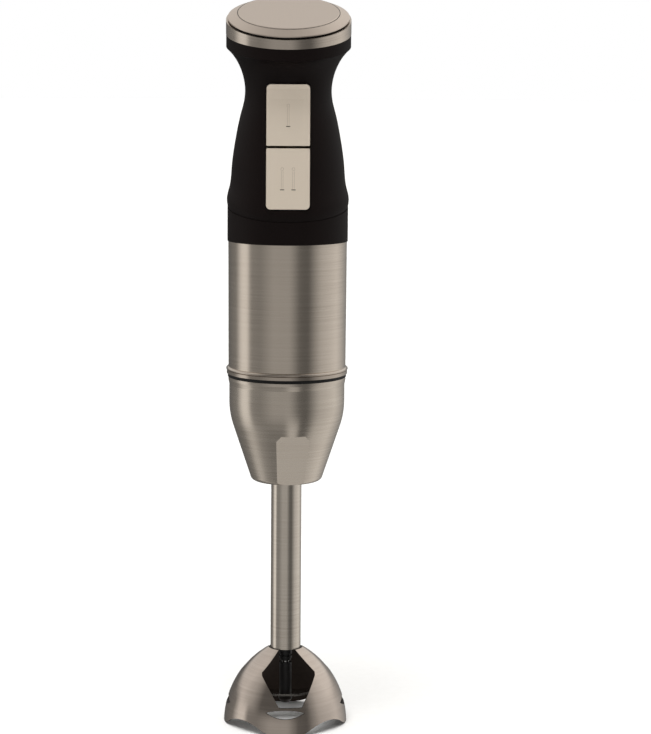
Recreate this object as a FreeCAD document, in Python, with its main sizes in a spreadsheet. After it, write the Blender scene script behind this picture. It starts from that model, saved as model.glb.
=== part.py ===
"""Immersion blender: a two-speed motor unit with a slanted head, and a twist-lock leg with a bladed guard.

The frame is +Z up with the origin on the ground under the guard's centre. The buttons face -Y and +X is to the
right of somebody who faces them. Lengths are millimetres and angles are degrees. Every driving size is a cell of
the sheet "dims", and the sub-parts are bound to those cells.
"""
import FreeCAD, Part

import math
import os

import Sketcher

CELLS = {
    # blade guard: a pressed dome on four feet
    "guard_radius": 32.75, "guard_arc": 47.93, "guard_sheet": 1.0, "guard_top": 39.9, "guard_shoulder": 9.06,
    "guard_floor": 38.6, "guard_floor_radius": 9.28, "guard_spigot": 7.15, "guard_spigot_top": 46.0,
    "foot_count": 4, "arch_half_width": 20.4, "arch_bend_across": 12.16,
    "arch_bend_height": 2.46, "foot_arc": 18.0, "arch_arc": 22.16,
    "window_turn": 5.6, "rear_window_turn": 117.0, "rear_window_share": 0.6,
    "window_half_top": 4.0, "window_top": 40.4, "window_half_wide": 14.0,
    "window_wide_at": 30.0, "window_wide_end": 28.6, "window_half_low": 8.6, "window_low_at": 19.0,
    "window_half_bottom": 6.0, "window_bottom": 14.5,
    "slot_half": 10.2, "slot_ends_at": 11.8, "slot_top_arc": 33.3, "slot_bottom_arc": 19.4,
    # tube, drive shaft and what carries it
    "tube_radius": 8.0, "tube_wall": 0.8, "tube_top": 150.0, "shaft_radius": 2.0, "running_gap": 0.05,
    "neck_low": 32.5, "neck_radius": 3.5, "neck_bore": 2.4, "housing_top": 52.0, "seal_low": 40.5,
    "seal_top": 43.5, "seal_radius": 4.5, "upper_bush_low": 138.0, "shaft_low": 10.5, "shaft_top": 185.5,
    # blade
    "blade_height": 13.6, "blade_thickness": 1.2, "blade_reach": 22.5, "blade_half_width": 4.8,
    "blade_flat": 7.0, "wing_rise": 4.2, "wing_drop": 2.6, "blade_hub_radius": 3.3, "blade_hub_top": 31.4,
    "blade_nut_radius": 3.6, "blade_nut_low": 9.6,
    # leg bell: a deep-drawn cone with three pressed grip flats
    "bell_low": 130.6, "bell_high": 185.9, "bell_radius": 30.2, "bell_rim": 30.7, "bell_sheet": 1.0,
    "bell_straight_low": 173.0, "bell_cone_top": 159.8, "bell_cone_radius": 28.03, "bell_arc": 41.5,
    "bell_cone_low": 133.0, "bell_low_radius": 19.05, "bell_corner": 2.6, "flat_turn": 7.5, "flat_count": 3,
    "flat_tilt": 18.4, "flat_depth": 1.4, "flat_half_low": 7.0, "flat_half_high": 8.9, "flat_half_top": 6.2,
    # joint between leg and motor unit
    "seal_ring_radius": 31.0, "spigot_radius": 26.0, "spigot_wall": 2.0, "spigot_top": 198.0,
    "lug_reach": 28.0, "lug_low": 193.0, "lug_top": 196.5, "lug_angle": 18.0, "lug_count": 3,
    "socket_gap": 0.4, "twist_angle": 25.0,
    "jaw_count": 3, "jaw_angle": 30.0, "jaw_inner": 4.5, "jaw_outer": 8.0, "leg_jaw_low": 184.0,
    "leg_jaw_top": 191.0, "motor_jaw_low": 185.2, "motor_jaw_top": 192.2, "coupling_low": 172.0,
    "coupling_top": 199.0,
    # motor unit outside
    "unit_low": 187.7, "lip_radius": 31.75, "lip_high": 191.2, "sleeve_radius": 30.85, "sleeve_low_radius": 30.65,
    "sleeve_wall": 0.8, "sleeve_high": 257.0, "collar_radius": 31.3, "seam_height": 275.0, "seam_tilt": 11.8,
    "shell_wall": 2.2, "band_low": 363.6, "band_low_tilt": 14.6, "band_high": 370.6, "cap_tilt": 18.4,
    "band_radius": 32.2, "band_wall": 2.0, "cap_gap": 0.9, "cap_radius": 31.3, "cap_edge": 0.5, "cap_rise": 2.5,
    "cap_seat": 26.4, "disc_radius": 26.15, "disc_thickness": 1.5, "disc_proud": 0.35, "plug_depth": 5.0,
    # buttons
    "button_half": 11.0, "button_1_top": 337.9, "button_1_low": 307.2, "button_2_top": 305.9,
    "button_2_low": 275.3, "button_corner": 2.2, "button_proud": 0.7, "button_depth": 8.8, "button_wall": 1.2,
    "button_plate": 2.0, "button_flange": 1.2, "button_gap": 0.3,
    # handle inside
    "board_front": -9.5, "board_thickness": 1.5, "board_low": 286.0, "board_top": 345.0, "board_half": 14.0,
    "switch_size": 12.0, "switch_depth": 6.0, "switch_1_height": 322.5, "switch_2_height": 291.0,
    "plunger_radius": 1.5, "plunger_tip": -17.2, "screw_height": 288.0, "screw_across": 19.5,
    "gland_height": 348.5, "gland_bore": 3.6, "gland_radius": 6.0, "gland_inner": 17.0, "gland_outer": 30.6,
    # motor
    "cradle_radius": 28.3, "cradle_wall": 1.6, "cradle_low": 204.3, "cradle_top": 262.0, "stack_low": 221.0,
    "stack_top": 241.0, "stack_radius": 26.4, "yoke_radius": 22.4, "bore_radius": 13.2, "rotor_radius": 12.7,
    "rotor_slots": 12, "motor_shaft_radius": 2.5, "motor_shaft_low": 193.0, "motor_shaft_top": 263.0,
    "commutator_radius": 8.0, "commutator_low": 246.0, "commutator_top": 253.0, "fan_radius": 21.5,
    "fan_low": 211.8, "fan_top": 216.4, "fan_blades": 9, "bearing_radius": 8.0, "upper_bearing_radius": 6.5,
    "brush_size": 5.0, "holder_outer": 24.0, "bolt_circle": 24.4, "bolt_radius": 1.0,
}

V = FreeCAD.Vector
doc = FreeCAD.newDocument("immersion_blender")
sheet = doc.addObject("Spreadsheet::Sheet", "dims")
for row, (alias, cell) in enumerate(CELLS.items(), start=1):
    sheet.set(f"A{row}", alias)
    sheet.set(f"B{row}", str(cell))
    sheet.setAlias(f"B{row}", alias)
doc.recompute()
sub_parts = []


class Size:
    """A size worked out from the sheet: its value, and the expression that keeps it bound to the cells."""

    def __init__(self, value, text):
        self.value = value
        self.text = text

    def joined(self, sign, other, value):
        return Size(value, f"({self.text} {sign} {words(other)})")

    def __add__(self, other):
        return self.joined("+", other, self.value + number(other))

    def __sub__(self, other):
        return self.joined("-", other, self.value - number(other))

    def __mul__(self, other):
        return self.joined("*", other, self.value * number(other))

    def __truediv__(self, other):
        return self.joined("/", other, self.value / number(other))

    def __neg__(self):
        return Size(-self.value, f"(0 - {self.text})")


def number(size):
    return float(size.value) if isinstance(size, Size) else float(size)


def words(size):
    return size.text if isinstance(size, Size) else f"({size})"


def tangent(angle):
    return Size(math.tan(math.radians(number(angle))), f"tan({words(angle)})")


def cosine(angle):
    return Size(math.cos(math.radians(number(angle))), f"cos({words(angle)})")


class Dimensions:
    """Gives each cell of the sheet by its name."""

    def __getattr__(self, name):
        return Size(CELLS[name], f"dims.{name}")


d = Dimensions()


def bind(item, name, size):
    """Sets a property and, where the size comes from the sheet, keeps it bound."""
    if isinstance(size, Size):
        item.setExpression(name, size.text)
    else:
        setattr(item, name, size)


def keep(item, label):
    """Names a finished sub-part; its label is the name of its file."""
    item.Label = label
    sub_parts.append(item)
    return item


# ---- PartDesign helpers -------------------------------------------------------------------------------------

def new_body(name):
    return doc.addObject("PartDesign::Body", name)


def origin_item(body, role):
    return next(item for item in body.Origin.OriginFeatures if item.Role == role)


def side_between(start, corner):
    """A straight side to the corner, or an arc if the corner has a radius: positive bulges to the right."""
    begin = V(number(start[0]), number(start[1]), 0)
    end = V(number(corner[0]), number(corner[1]), 0)
    if len(corner) < 3:
        return Part.LineSegment(begin, end)
    radius = abs(number(corner[2]))
    chord = end - begin
    right = V(chord.y, -chord.x, 0).normalize() * math.copysign(1, number(corner[2]))
    bulge = radius - math.sqrt(radius ** 2 - (chord.Length / 2) ** 2)
    return Part.Arc(begin, (begin + end) / 2 + right * bulge, end)


def outline(body, role, corners, turn=0.0, tilt=0.0, at=(0.0, 0.0, 0.0)):
    """A closed outline on one of the body's planes, with each corner held by two bound distances.

    turn swings the plane about its upright, at then moves it (across, up, out), and tilt leans its top outwards.
    """
    sketch = body.newObject("Sketcher::SketchObject", f"{body.Name}_outline")
    sketch.AttachmentSupport = (origin_item(body, role), [""])
    sketch.MapMode = "FlatFace"
    swing = FreeCAD.Rotation(V(0, 1, 0), number(turn))
    lean = FreeCAD.Rotation(V(1, 0, 0), number(tilt))
    place = swing.multVec(V(*(number(part) for part in at)))
    sketch.AttachmentOffset = FreeCAD.Placement(place, swing * lean)
    count = len(corners)
    starts = []
    for index in range(count):
        following = corners[(index + 1) % count]
        geometry = sketch.addGeometry(side_between(corners[index], following))
        begin = V(number(corners[index][0]), number(corners[index][1]), 0)
        forward = sketch.getPoint(geometry, 1).distanceToPoint(begin) < 1e-6
        starts.append((1, 2) if forward else (2, 1))
    for index in range(count):
        after = (index + 1) % count
        sketch.addConstraint(Sketcher.Constraint("Coincident", index, starts[index][1], after, starts[after][0]))
    for index, corner in enumerate(corners):
        for kind, size in (("DistanceX", corner[0]), ("DistanceY", corner[1])):
            held = Sketcher.Constraint(kind, -1, 1, index, starts[index][0], number(size))
            hold(sketch, held, size)
        if len(corner) > 2:
            before = (index - 1) % count
            size = corner[2] if number(corner[2]) > 0 else -corner[2]
            hold(sketch, Sketcher.Constraint("Radius", before, number(size)), size)
    return sketch


def hold(sketch, constraint, size):
    index = sketch.addConstraint(constraint)
    if isinstance(size, Size):
        sketch.setExpression(f"Constraints[{index}]", size.text)


def round_outline(body, role, circles, lift=0.0):
    """One or more circles, each (across, up, radius), on one of the body's planes."""
    sketch = body.newObject("Sketcher::SketchObject", f"{body.Name}_circles")
    sketch.AttachmentSupport = (origin_item(body, role), [""])
    sketch.MapMode = "FlatFace"
    sketch.AttachmentOffset = FreeCAD.Placement(V(0, 0, number(lift)), FreeCAD.Rotation())
    for across, up, radius in circles:
        index = sketch.addGeometry(Part.Circle(V(number(across), number(up), 0), V(0, 0, 1), number(radius)))
        hold(sketch, Sketcher.Constraint("DistanceX", -1, 1, index, 3, number(across)), across)
        hold(sketch, Sketcher.Constraint("DistanceY", -1, 1, index, 3, number(up)), up)
        hold(sketch, Sketcher.Constraint("Radius", index, number(radius)), radius)
    return sketch


def spun(body, sketch, kind="Revolution", angle=360.0):
    """Revolves an outline about the body's own Z axis, or with Groove cuts that ring away."""
    feature = body.newObject(f"PartDesign::{kind}", f"{body.Name}_{kind.lower()}")
    feature.Profile = sketch
    feature.ReferenceAxis = (origin_item(body, "Z_Axis"), [""])
    feature.Midplane = number(angle) < 360
    bind(feature, "Angle", angle)
    return feature


def extruded(body, sketch, length, kind="Pad", both=False, flip=False):
    """Pads an outline along its normal, or with Pocket cuts against it; flip swaps the way."""
    feature = body.newObject(f"PartDesign::{kind}", f"{body.Name}_{kind.lower()}")
    feature.Profile = sketch
    feature.Midplane = both
    feature.Reversed = flip
    bind(feature, "Length", length)
    return feature


def repeated(body, feature, count):
    pattern = body.newObject("PartDesign::PolarPattern", f"{body.Name}_pattern")
    pattern.Originals = [feature]
    pattern.Axis = (origin_item(body, "Z_Axis"), [""])
    pattern.Angle = 360
    bind(pattern, "Occurrences", count)
    body.Tip = pattern
    return pattern


def turned(label, corners, finished=True):
    """A piece turned about Z from an outline of (radius, height) corners."""
    body = new_body(label)
    spun(body, outline(body, "XZ_Plane", corners))
    return keep(body, label) if finished else body


def ring(label, inner, outer, low, high, finished=True):
    return turned(label, [(inner, low), (outer, low), (outer, high), (inner, high)], finished)


# ---- Part helpers -------------------------------------------------------------------------------------------

def block(name, low, high):
    """A box between two corners."""
    item = doc.addObject("Part::Box", name)
    for side, start, end in zip(("Length", "Width", "Height"), low, high):
        bind(item, side, end - start)
    for letter, start in zip("xyz", low):
        bind_place(item, letter, start)
    return item


def bind_place(item, letter, size):
    if isinstance(size, Size):
        item.setExpression(f"Placement.Base.{letter}", size.text)
    else:
        place = item.Placement
        setattr(place.Base, letter, size)
        item.Placement = place


def rod(name, radius, length, base=(0.0, 0.0, 0.0), along="z"):
    """A cylinder from its base towards +X, +Y or +Z."""
    item = doc.addObject("Part::Cylinder", name)
    bind(item, "Radius", radius)
    bind(item, "Height", length)
    axes = {"x": (V(0, 1, 0), 90), "y": (V(1, 0, 0), -90), "z": (V(0, 0, 1), 0)}
    item.Placement = FreeCAD.Placement(V(0, 0, 0), FreeCAD.Rotation(*axes[along]))
    for letter, size in zip("xyz", base):
        bind_place(item, letter, size)
    return item


def cut(name, base, tool):
    item = doc.addObject("Part::Cut", name)
    item.Base = base
    item.Tool = tool
    return item


def common(name, first, second):
    item = doc.addObject("Part::Common", name)
    item.Base = first
    item.Tool = second
    return item


def joined(name, pieces):
    item = doc.addObject("Part::MultiFuse", name)
    item.Shapes = pieces
    return item


def grouped(name, pieces):
    """Like pieces that share a node, each still a solid of its own."""
    item = doc.addObject("Part::Compound", name)
    item.Links = pieces
    return item


def half_turned(name, piece):
    """A copy of a piece, half a turn round Z from it."""
    item = doc.addObject("Part::Feature", name)
    copy = piece.Shape.copy()
    copy.rotate(V(0, 0, 0), V(0, 0, 1), 180)
    item.Shape = copy
    return item


def slice_of_handle(name, height, radius, tilt):
    """The ellipse in which a plane, leaning up towards the back, meets an upright cylinder.

    It starts and ends at the left, so the loft's seam falls where the handle is split.
    """
    item = doc.addObject("Part::Ellipse", name)
    item.Angle1 = 90
    item.Angle2 = 90
    item.setExpression("MajorRadius", f"{words(radius)} / cos({words(tilt)})")
    item.setExpression("MinorRadius", words(radius))
    lean = f"rotationx({words(tilt)}) * rotationz(90)"
    item.setExpression("Placement", f"placement(vector(0; 0; {words(height)}); {lean})")
    return item


def lofted(name, slices, ruled=True):
    """A solid through slices, each (height on the axis, radius, tilt)."""
    item = doc.addObject("Part::Loft", name)
    item.Sections = [slice_of_handle(f"{name}_slice_{index}", *part) for index, part in enumerate(slices)]
    item.Solid = True
    item.Ruled = ruled
    return item


# ---- blending leg -------------------------------------------------------------------------------------------

def make_blade_guard():
    """A pressed steel dome: four feet with arches between, juice slots over three of them and three windows.

    The front window is the wide one, and the two behind it are narrower so that they clear its line of sight.
    """
    body = new_body("blade_guard")
    inner_arc = d.guard_arc - d.guard_sheet
    corners = [
        (d.guard_radius - d.guard_sheet, 0.0, -inner_arc),
        (d.guard_radius, 0.0),
        (d.guard_shoulder, d.guard_top, d.guard_arc),
        (d.guard_spigot, d.guard_top),
        (d.guard_spigot, d.guard_spigot_top),
        (d.guard_spigot - d.guard_sheet, d.guard_spigot_top),
        (d.guard_spigot - d.guard_sheet, d.guard_top),
        (d.neck_radius + 0.1, d.guard_top),
        (d.neck_radius + 0.1, d.guard_floor),
        (d.guard_floor_radius, d.guard_floor),
    ]
    spun(body, outline(body, "XZ_Plane", corners))
    below = -3.0
    arch = [
        (-d.arch_half_width, 0.0),
        (-d.arch_bend_across, d.arch_bend_height, d.foot_arc),
        (d.arch_bend_across, d.arch_bend_height, -d.arch_arc),
        (d.arch_half_width, 0.0, d.foot_arc),
        (d.arch_half_width, below),
        (-d.arch_half_width, below),
    ]
    reach = d.guard_radius + 5.0
    sketch = outline(body, "XZ_Plane", arch, turn=45.0, at=(0.0, 0.0, 10.0))
    repeated(body, extruded(body, sketch, reach, "Pocket", flip=True), d.foot_count)
    rear_turn, rear_share = d.rear_window_turn, d.rear_window_share
    for turn, share in ((d.window_turn, 1.0), (rear_turn, rear_share), (-rear_turn, rear_share)):
        right_edge = [
            (d.window_half_bottom * share, d.window_bottom),
            (d.window_half_low * share, d.window_low_at),
            (d.window_half_wide * share, d.window_wide_end),
            (d.window_half_wide * share, d.window_wide_at),
            (d.window_half_top * share, d.window_top),
        ]
        left_edge = [(-across, height) for across, height in reversed(right_edge)]
        sketch = outline(body, "XZ_Plane", right_edge + left_edge, turn=turn, at=(0.0, 0.0, 2.5))
        extruded(body, sketch, reach, "Pocket", flip=True)
    slot = [(-d.slot_half, d.slot_ends_at, d.slot_top_arc), (d.slot_half, d.slot_ends_at, d.slot_bottom_arc)]
    for turn in (-90.0, 0.0, 90.0):
        sketch = outline(body, "XZ_Plane", slot, turn=turn, at=(0.0, 0.0, 10.0))
        extruded(body, sketch, reach, "Pocket", flip=True)
    keep(body, "blade_guard")


def make_leg_bearings():
    """What carries the drive shaft in the tube: a ribbed nose housing, a lip seal and two bushes."""
    nose = d.neck_radius
    turned("bearing_housing", [
        (d.neck_bore, d.neck_low), (nose - 0.6, d.neck_low), (nose - 0.6, d.neck_low + 1.2),
        (nose - 0.1, d.neck_low + 1.2), (nose - 0.1, d.neck_low + 2.6), (nose - 0.7, d.neck_low + 2.6),
        (nose - 0.7, d.neck_low + 3.6), (nose, d.neck_low + 3.6), (nose, d.guard_top),
        (d.guard_spigot - d.guard_sheet - 0.05, d.guard_top),
        (d.guard_spigot - d.guard_sheet - 0.05, d.guard_spigot_top),
        (d.guard_spigot, d.guard_spigot_top), (d.guard_spigot, d.housing_top), (d.seal_radius, d.housing_top),
        (d.seal_radius, d.seal_low), (d.neck_bore, d.seal_low),
    ])
    bore = d.shaft_radius + d.running_gap
    turned("shaft_seal", [
        (bore, d.seal_low), (d.seal_radius, d.seal_low), (d.seal_radius, d.seal_top),
        (d.seal_radius - 1.0, d.seal_top), (d.seal_radius - 1.0, d.seal_low + 0.9), (bore, d.seal_low + 0.9),
    ])
    ring("lower_bush", bore, d.seal_radius, d.seal_top, d.housing_top)
    top_bush = d.tube_radius - d.tube_wall - 0.05
    turned("upper_bush", [
        (bore, d.upper_bush_low), (top_bush, d.upper_bush_low), (top_bush, d.tube_top),
        (d.tube_radius, d.tube_top), (d.tube_radius, d.tube_top + 1.0), (bore, d.tube_top + 1.0),
    ])
    ring("leg_tube", d.tube_radius - d.tube_wall, d.tube_radius, d.guard_top, d.tube_top)


def bell_solid(name, inset):
    """The bell's outside, or its inside when inset by the sheet's thickness, with the three grip flats."""
    body = new_body(name)
    low = d.bell_low + inset
    corner = d.bell_corner
    corners = [
        (0.0, low),
        (d.bell_low_radius - inset - corner, low),
        (d.bell_low_radius - inset, d.bell_cone_low, corner + 0.4),
        (d.bell_cone_radius - inset, d.bell_cone_top),
        (d.bell_radius - inset, d.bell_straight_low, d.bell_arc),
        (d.bell_radius - inset, d.bell_high - 4.0),
        (d.bell_rim - inset, d.bell_high - 1.5),
        (d.bell_rim - inset, d.bell_high),
        (0.0, d.bell_high),
    ]
    spun(body, outline(body, "XZ_Plane", corners))
    flat = [
        (-d.flat_half_low, -4.0), (d.flat_half_low, -4.0), (d.flat_half_high, 23.0), (d.flat_half_top, 26.6),
        (-d.flat_half_top, 26.6), (-d.flat_half_high, 23.0),
    ]
    place = (0.0, d.bell_cone_low, d.bell_low_radius - d.flat_depth - inset)
    sketch = outline(body, "XZ_Plane", flat, turn=d.flat_turn, tilt=d.flat_tilt, at=place)
    repeated(body, extruded(body, sketch, 12.0, "Pocket", flip=True), d.flat_count)
    return body


def make_leg_bell():
    hollow = bell_solid("bell_inside", d.bell_sheet)
    shell = cut("bell_shell", bell_solid("bell_outside", Size(0.0, "0")), hollow)
    hole = rod("bell_hole", d.tube_radius + 0.05, 12.0, (0.0, 0.0, d.bell_low - 5.0))
    keep(cut("bell_drilled", shell, hole), "leg_bell")


def make_leg_core():
    """The moulded funnel inside the bell, with the bayonet spigot and its lugs on top."""
    body = new_body("leg_core")
    spigot_bore = d.spigot_radius - d.spigot_wall
    corners = [
        (d.tube_radius + 0.05, d.bell_cone_low + 1.0), (14.0, d.bell_cone_low + 1.0), (21.5, 157.0),
        (26.5, 170.0), (28.9, 176.0), (28.9, d.bell_high), (d.spigot_radius, d.bell_high),
        (d.spigot_radius, d.spigot_top), (spigot_bore, d.spigot_top), (spigot_bore, 172.0), (13.0, 160.0),
        (13.0, 155.0), (d.tube_radius + 0.05, 152.5),
    ]
    spun(body, outline(body, "XZ_Plane", corners))
    lug = [
        (d.spigot_radius - 0.5, d.lug_low), (d.lug_reach, d.lug_low), (d.lug_reach, d.lug_top),
        (d.spigot_radius - 0.5, d.lug_top),
    ]
    repeated(body, spun(body, outline(body, "XZ_Plane", lug), "Revolution", d.lug_angle), d.lug_count)
    keep(body, "leg_core")
    ring("leg_seal", d.spigot_radius + 0.3, d.seal_ring_radius, d.bell_high + 0.1, d.unit_low - 0.1)


def jaws(body, low, high, start):
    """Three jaws about the axis, whose middles start at the given turn."""
    jaw = [(d.jaw_inner, low), (d.jaw_outer, low), (d.jaw_outer, high), (d.jaw_inner, high)]
    sketch = outline(body, "XZ_Plane", jaw, turn=start)
    repeated(body, spun(body, sketch, "Revolution", d.jaw_angle), d.jaw_count)


def make_drive():
    """The drive shaft with its half of the jaw coupling at the top and the blade at the bottom."""
    turned("drive_shaft", [
        (0.0, d.shaft_low), (d.shaft_radius, d.shaft_low), (d.shaft_radius, d.shaft_top - 0.6),
        (d.shaft_radius - 0.6, d.shaft_top), (0.0, d.shaft_top),
    ])
    coupling = new_body("leg_coupling")
    corners = [
        (d.shaft_radius, d.coupling_low), (5.5, d.coupling_low), (5.5, d.leg_jaw_low - 4.0),
        (d.jaw_outer, d.leg_jaw_low - 4.0), (d.jaw_outer, d.leg_jaw_low), (d.shaft_radius, d.leg_jaw_low),
    ]
    spun(coupling, outline(coupling, "XZ_Plane", corners))
    jaws(coupling, d.leg_jaw_low - 0.5, d.leg_jaw_top, 60.0)
    keep(coupling, "leg_coupling")
    ring("shaft_clip", d.shaft_radius, 5.0, d.tube_top + 1.3, d.tube_top + 2.1)
    ring("blade_hub", d.shaft_radius, d.blade_hub_radius, d.blade_height + d.blade_thickness, d.blade_hub_top)
    turned("blade_nut", [
        (0.0, d.shaft_low - 0.1), (d.shaft_radius, d.shaft_low - 0.1), (d.shaft_radius, d.blade_height),
        (d.blade_nut_radius, d.blade_height), (d.blade_nut_radius, d.blade_height - 2.2),
        (d.shaft_radius + 0.4, d.blade_nut_low), (0.0, d.blade_nut_low),
    ])


def make_blade():
    """Two bent wings from one strip, one wing up and one down, with swept tips."""
    body = new_body("blade")
    low = d.blade_height
    high = d.blade_height + d.blade_thickness
    side = [
        (-d.blade_flat, low), (d.blade_flat, low), (d.blade_reach, low + d.wing_rise),
        (d.blade_reach, high + d.wing_rise), (d.blade_flat, high), (-d.blade_flat, high),
        (-d.blade_reach, high - d.wing_drop), (-d.blade_reach, low - d.wing_drop),
    ]
    extruded(body, outline(body, "XZ_Plane", side), d.blade_half_width * 2.0, both=True)
    swept = [
        (d.blade_flat, d.blade_half_width), (d.blade_flat, d.blade_half_width + 3.0),
        (d.blade_reach + 3.0, d.blade_half_width + 3.0), (d.blade_reach + 3.0, -d.blade_half_width + 2.0),
        (d.blade_reach - 1.0, -d.blade_half_width + 2.5),
    ]
    sketch = outline(body, "XY_Plane", swept)
    repeated(body, extruded(body, sketch, 60.0, "Pocket", both=True), 2)
    extruded(body, round_outline(body, "XY_Plane", [(0.0, 0.0, d.shaft_radius)]), 60.0, "Pocket", both=True)
    keep(body, "blade")


# ---- motor unit: outside ------------------------------------------------------------------------------------

def handle_slices(inset):
    """Slices of the grip from its lower seam to the rim under the head, as (height, radius, tilt)."""
    grip = [
        (d.seam_height, 30.95, d.seam_tilt), (285.0, 30.3, 9.0), (296.0, 29.1, 6.0), (306.0, 27.8, 3.5),
        (315.0, 26.2, 1.5), (323.0, 24.4, 0.6), (329.5, 22.75, 0.4), (335.5, 22.35, 1.2), (341.5, 23.3, 3.0),
        (347.0, 25.2, 6.0), (351.6, 27.7, 9.0), (355.0, 30.2, 11.6), (357.15, 32.1, 13.5),
    ]
    return [(height, radius - inset, tilt) for height, radius, tilt in grip]


def head_solid(name, inset):
    """The grip's outside, or its inside when inset, up to the lower edge of the head band."""
    grip = lofted(f"{name}_grip", handle_slices(inset), ruled=False)
    drum_radius = d.band_radius - 0.1 - inset
    drum = lofted(f"{name}_drum", [(357.15, drum_radius, 13.5), (d.band_low, drum_radius, d.band_low_tilt)])
    return joined(name, [grip, drum])


def below_plane(name, height, tilt, low):
    """Everything under a plane that leans up towards the back."""
    reach = 50.0
    body = new_body(name)
    rise = tangent(tilt) * reach
    corners = [(-reach, low), (reach, low), (reach, height + rise), (-reach, height - rise)]
    extruded(body, outline(body, "YZ_Plane", corners), reach * 2.0, both=True)
    return body


def make_handle_shells():
    """Two moulded half shells, split front and back, with the button opening and the screw posts."""
    outside = head_solid("handle_outside", 0.0)
    inside = head_solid("handle_inside", number(d.shell_wall))
    wall = cut("handle_wall", outside, inside)
    reach = 40.0
    low = 255.0
    high = 380.0
    front = common("front_wall", wall, block("front_half", (-reach, -reach, low), (reach, 0.0, high)))
    opening = new_body("button_opening")
    half = d.button_half + d.button_gap
    corner = d.button_corner + d.button_gap
    top = d.button_1_top + d.button_gap
    bottom = d.button_2_low - d.button_gap
    corners = [
        (-half + corner, bottom), (half - corner, bottom), (half, bottom + corner, corner), (half, top - corner),
        (half - corner, top, corner), (-half + corner, top), (-half, top - corner, corner),
        (-half, bottom + corner),
    ]
    corners[0] = (corners[0][0], corners[0][1], corner)
    extruded(opening, outline(opening, "XZ_Plane", corners), reach)
    front_open = cut("front_open", front, opening)
    posts = []
    drills = []
    for side, sign in (("right", 1.0), ("left", -1.0)):
        across = d.screw_across * sign
        post = rod(f"front_post_{side}", 3.0, 18.0, (across, -18.0, d.screw_height), "y")
        posts.append(common(f"front_post_in_{side}", post, inside))
        drills.append(rod(f"front_pilot_{side}", 1.45, 12.0, (across, -11.0, d.screw_height), "y"))
        board_post = rod(f"board_post_{side}", 2.4, 16.0, (sign * 15.6, d.board_front - 16.0, 306.5), "y")
        posts.append(common(f"board_post_in_{side}", board_post, inside))
        drills.append(rod(f"board_pilot_{side}", 1.05, 7.0, (sign * 15.6, d.board_front - 7.0, 306.5), "y"))
    front_full = joined("front_with_posts", [front_open] + posts)
    keep(cut("front_drilled", front_full, grouped("front_drills", drills)), "handle_front_shell")

    rear = common("rear_wall", wall, block("rear_half", (-reach, 0.0, low), (reach, reach, high)))
    posts = []
    drills = [rod("gland_hole", d.gland_radius + 0.05, 20.0, (0.0, 16.0, d.gland_height), "y")]
    for side, sign in (("right", 1.0), ("left", -1.0)):
        across = d.screw_across * sign
        post = rod(f"rear_post_{side}", 3.6, 24.0, (across, 0.0, d.screw_height), "y")
        posts.append(common(f"rear_post_in_{side}", post, outside))
        drills.append(rod(f"rear_hole_{side}", 1.6, 12.0, (across, -1.0, d.screw_height), "y"))
        drills.append(rod(f"rear_recess_{side}", 2.8, 24.0, (across, 9.0, d.screw_height), "y"))
    for index in range(5):
        height = 297.0 + index * 5.0
        drills.append(block(f"vent_{index}", (-9.0, 15.0, height), (9.0, 40.0, height + 2.0)))
    rear_full = joined("rear_with_posts", [rear] + posts)
    keep(cut("rear_drilled", rear_full, joined("rear_drills", drills)), "handle_rear_shell")


def make_handle_collar():
    """The black ring between the steel sleeve and the grip, with a spigot into each."""
    top = 296.0
    ledge = d.cradle_top + 0.3
    skirt = [
        (d.cradle_radius + 0.2, 247.0), (d.sleeve_radius - d.sleeve_wall - 0.1, 247.0),
        (d.sleeve_radius - d.sleeve_wall - 0.1, d.sleeve_high), (d.collar_radius, d.sleeve_high),
        (d.collar_radius, top), (26.6, top), (26.6, ledge), (d.cradle_radius + 0.2, ledge),
    ]
    outer = common("collar_ring", turned("collar_blank", skirt, False),
                   below_plane("collar_top", d.seam_height, d.seam_tilt, 240.0))
    spigot = common("collar_spigot", ring("collar_inner", 26.6, 27.8, ledge, top, False),
                    below_plane("spigot_top_plane", d.seam_height + 3.0, d.seam_tilt, 240.0))
    keep(joined("collar_whole", [outer, spigot]), "handle_collar")


def make_sleeve():
    """The brushed steel sleeve over the motor, and the trim ring that closes it at the joint."""
    wall = d.sleeve_wall
    turned("motor_sleeve", [
        (d.sleeve_low_radius - wall, d.lip_high), (d.sleeve_low_radius, d.lip_high),
        (d.sleeve_radius, d.sleeve_high), (d.sleeve_radius - wall, d.sleeve_high),
    ])
    inner = d.spigot_radius + 3.3
    in_sleeve = d.sleeve_low_radius - wall - 0.05
    turned("lip_ring", [
        (inner, d.unit_low), (d.lip_radius - 0.2, d.unit_low), (d.lip_radius - 0.2, d.unit_low + 1.7),
        (d.lip_radius - 0.5, d.unit_low + 1.85), (d.lip_radius, d.unit_low + 2.1),
        (d.lip_radius, d.unit_low + 2.8, 0.6), (d.sleeve_low_radius, d.lip_high, 1.4),
        (in_sleeve, d.lip_high), (in_sleeve, d.lip_high + 6.0), (inner, d.lip_high + 6.0),
    ])


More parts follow.
